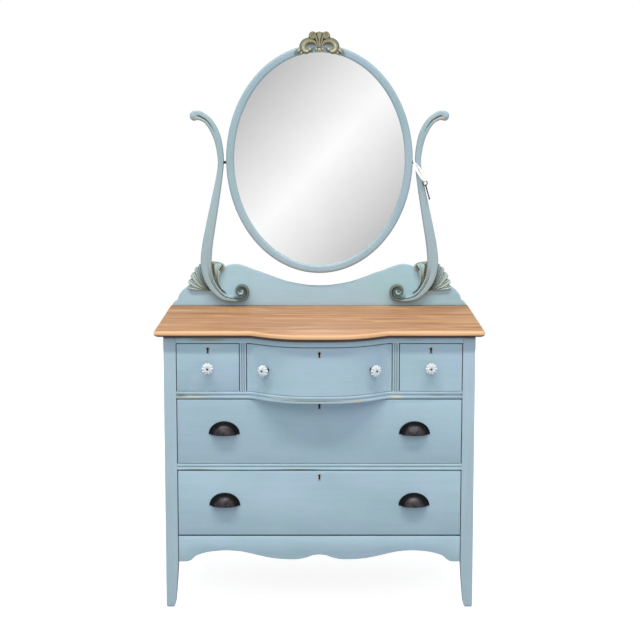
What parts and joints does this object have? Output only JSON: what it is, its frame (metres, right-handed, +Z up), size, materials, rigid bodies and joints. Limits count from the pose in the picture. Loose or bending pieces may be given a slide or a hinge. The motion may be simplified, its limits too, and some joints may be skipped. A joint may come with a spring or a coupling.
{
  "type": "dresser with mirror",
  "caption": "Painted wooden dresser with drawers, a bow-fronted wooden top, carved scroll standards and an oval mirror that tilts between them.",
  "frame": {"origin": "on the floor, midway across and midway between the front of the bowed top and the backs of the mirror battens", "axes": "+X to the right of someone facing the drawers, +Y to the back, +Z up; millimetres in the source and metres in the packed part"},
  "size_m": [1.067, 0.596, 1.9002],
  "materials": {
    "painted_wood": "pale dusty blue chalk paint, matt, worn to brown and gold on edges",
    "top_wood": "bare-looking orange tan wood under a thin satin varnish",
    "bare_wood": "unfinished softwood",
    "carved_wood": "grey-green and old gold over brown, satin",
    "clear_glass": "clear pressed glass on a steel bolt",
    "mirror_glass": "silvered plate glass",
    "black_iron": "black, satin",
    "old_brass": "dark with age",
    "ribbon": "white ribbon"
  },
  "bodies": {
    "case": {"front_post_left": "painted_wood", "front_post_right": "painted_wood", "rear_post_left": "painted_wood", "rear_post_right": "painted_wood", "end_panel_left": "painted_wood", "end_panel_right": "painted_wood", "top_rail": "painted_wood", "upper_drawer_rail": "painted_wood", "lower_drawer_rail": "painted_wood", "apron": "painted_wood", "divider_left": "painted_wood", "divider_right": "painted_wood", "mirror_board": "painted_wood", "standard_left": "painted_wood", "standard_right": "painted_wood", "back_panel": "bare_wood", "runner_frame_upper": "bare_wood", "runner_frame_middle": "bare_wood", "runner_frame_bottom": "bare_wood", "mirror_batten_left": "bare_wood", "mirror_batten_right": "bare_wood", "top_slab": "top_wood", "leaf_carving_left": "carved_wood", "pivot_screw_left": "old_brass", "leaf_carving_right": "carved_wood", "pivot_screw_right": "old_brass", "key_ribbon": "ribbon", "key": "old_brass"},
    "drawer_small_left": {"small_drawer_left_front": "painted_wood", "small_drawer_left_lock": "old_brass", "small_drawer_left_carcase": "bare_wood", "small_drawer_left_bottom": "bare_wood", "small_drawer_left_knob": "clear_glass"},
    "drawer_centre": {"centre_drawer_front": "painted_wood", "centre_drawer_lock": "old_brass", "centre_drawer_carcase": "bare_wood", "centre_drawer_bottom": "bare_wood", "centre_drawer_knob_left": "clear_glass", "centre_drawer_knob_right": "clear_glass"},
    "drawer_small_right": {"small_drawer_right_front": "painted_wood", "small_drawer_right_lock": "old_brass", "small_drawer_right_carcase": "bare_wood", "small_drawer_right_bottom": "bare_wood", "small_drawer_right_knob": "clear_glass"},
    "drawer_upper": {"upper_drawer_front": "painted_wood", "upper_drawer_lock": "old_brass", "upper_drawer_carcase": "bare_wood", "upper_drawer_bottom": "bare_wood", "upper_cup_pull_left": "black_iron", "upper_cup_pull_right": "black_iron"},
    "drawer_lower": {"lower_drawer_front": "painted_wood", "lower_drawer_lock": "old_brass", "lower_drawer_carcase": "bare_wood", "lower_drawer_bottom": "bare_wood", "lower_cup_pull_left": "black_iron", "lower_cup_pull_right": "black_iron"},
    "mirror": {"mirror_frame": "painted_wood", "mirror_glass": "mirror_glass", "mirror_backing": "bare_wood", "crest_carving": "carved_wood"}
  },
  "joints": [
    {"name": "small_drawer_left_slide", "type": "slide", "parent": "case", "child": "drawer_small_left", "axis": [0, -1, 0], "range_m": [0, 0.36]},
    {"name": "centre_drawer_slide", "type": "slide", "parent": "case", "child": "drawer_centre", "axis": [0, -1, 0], "range_m": [0, 0.36]},
    {"name": "small_drawer_right_slide", "type": "slide", "parent": "case", "child": "drawer_small_right", "axis": [0, -1, 0], "range_m": [0, 0.36]},
    {"name": "upper_drawer_slide", "type": "slide", "parent": "case", "child": "drawer_upper", "axis": [0, -1, 0], "range_m": [0, 0.36]},
    {"name": "lower_drawer_slide", "type": "slide", "parent": "case", "child": "drawer_lower", "axis": [0, -1, 0], "range_m": [0, 0.36]},
    {"name": "mirror_tilt", "type": "hinge", "parent": "case", "child": "mirror", "pos_m": [0, 0.246, 1.445], "axis": [1, 0, 0], "range_deg": [-15, 25]}
  ]
}
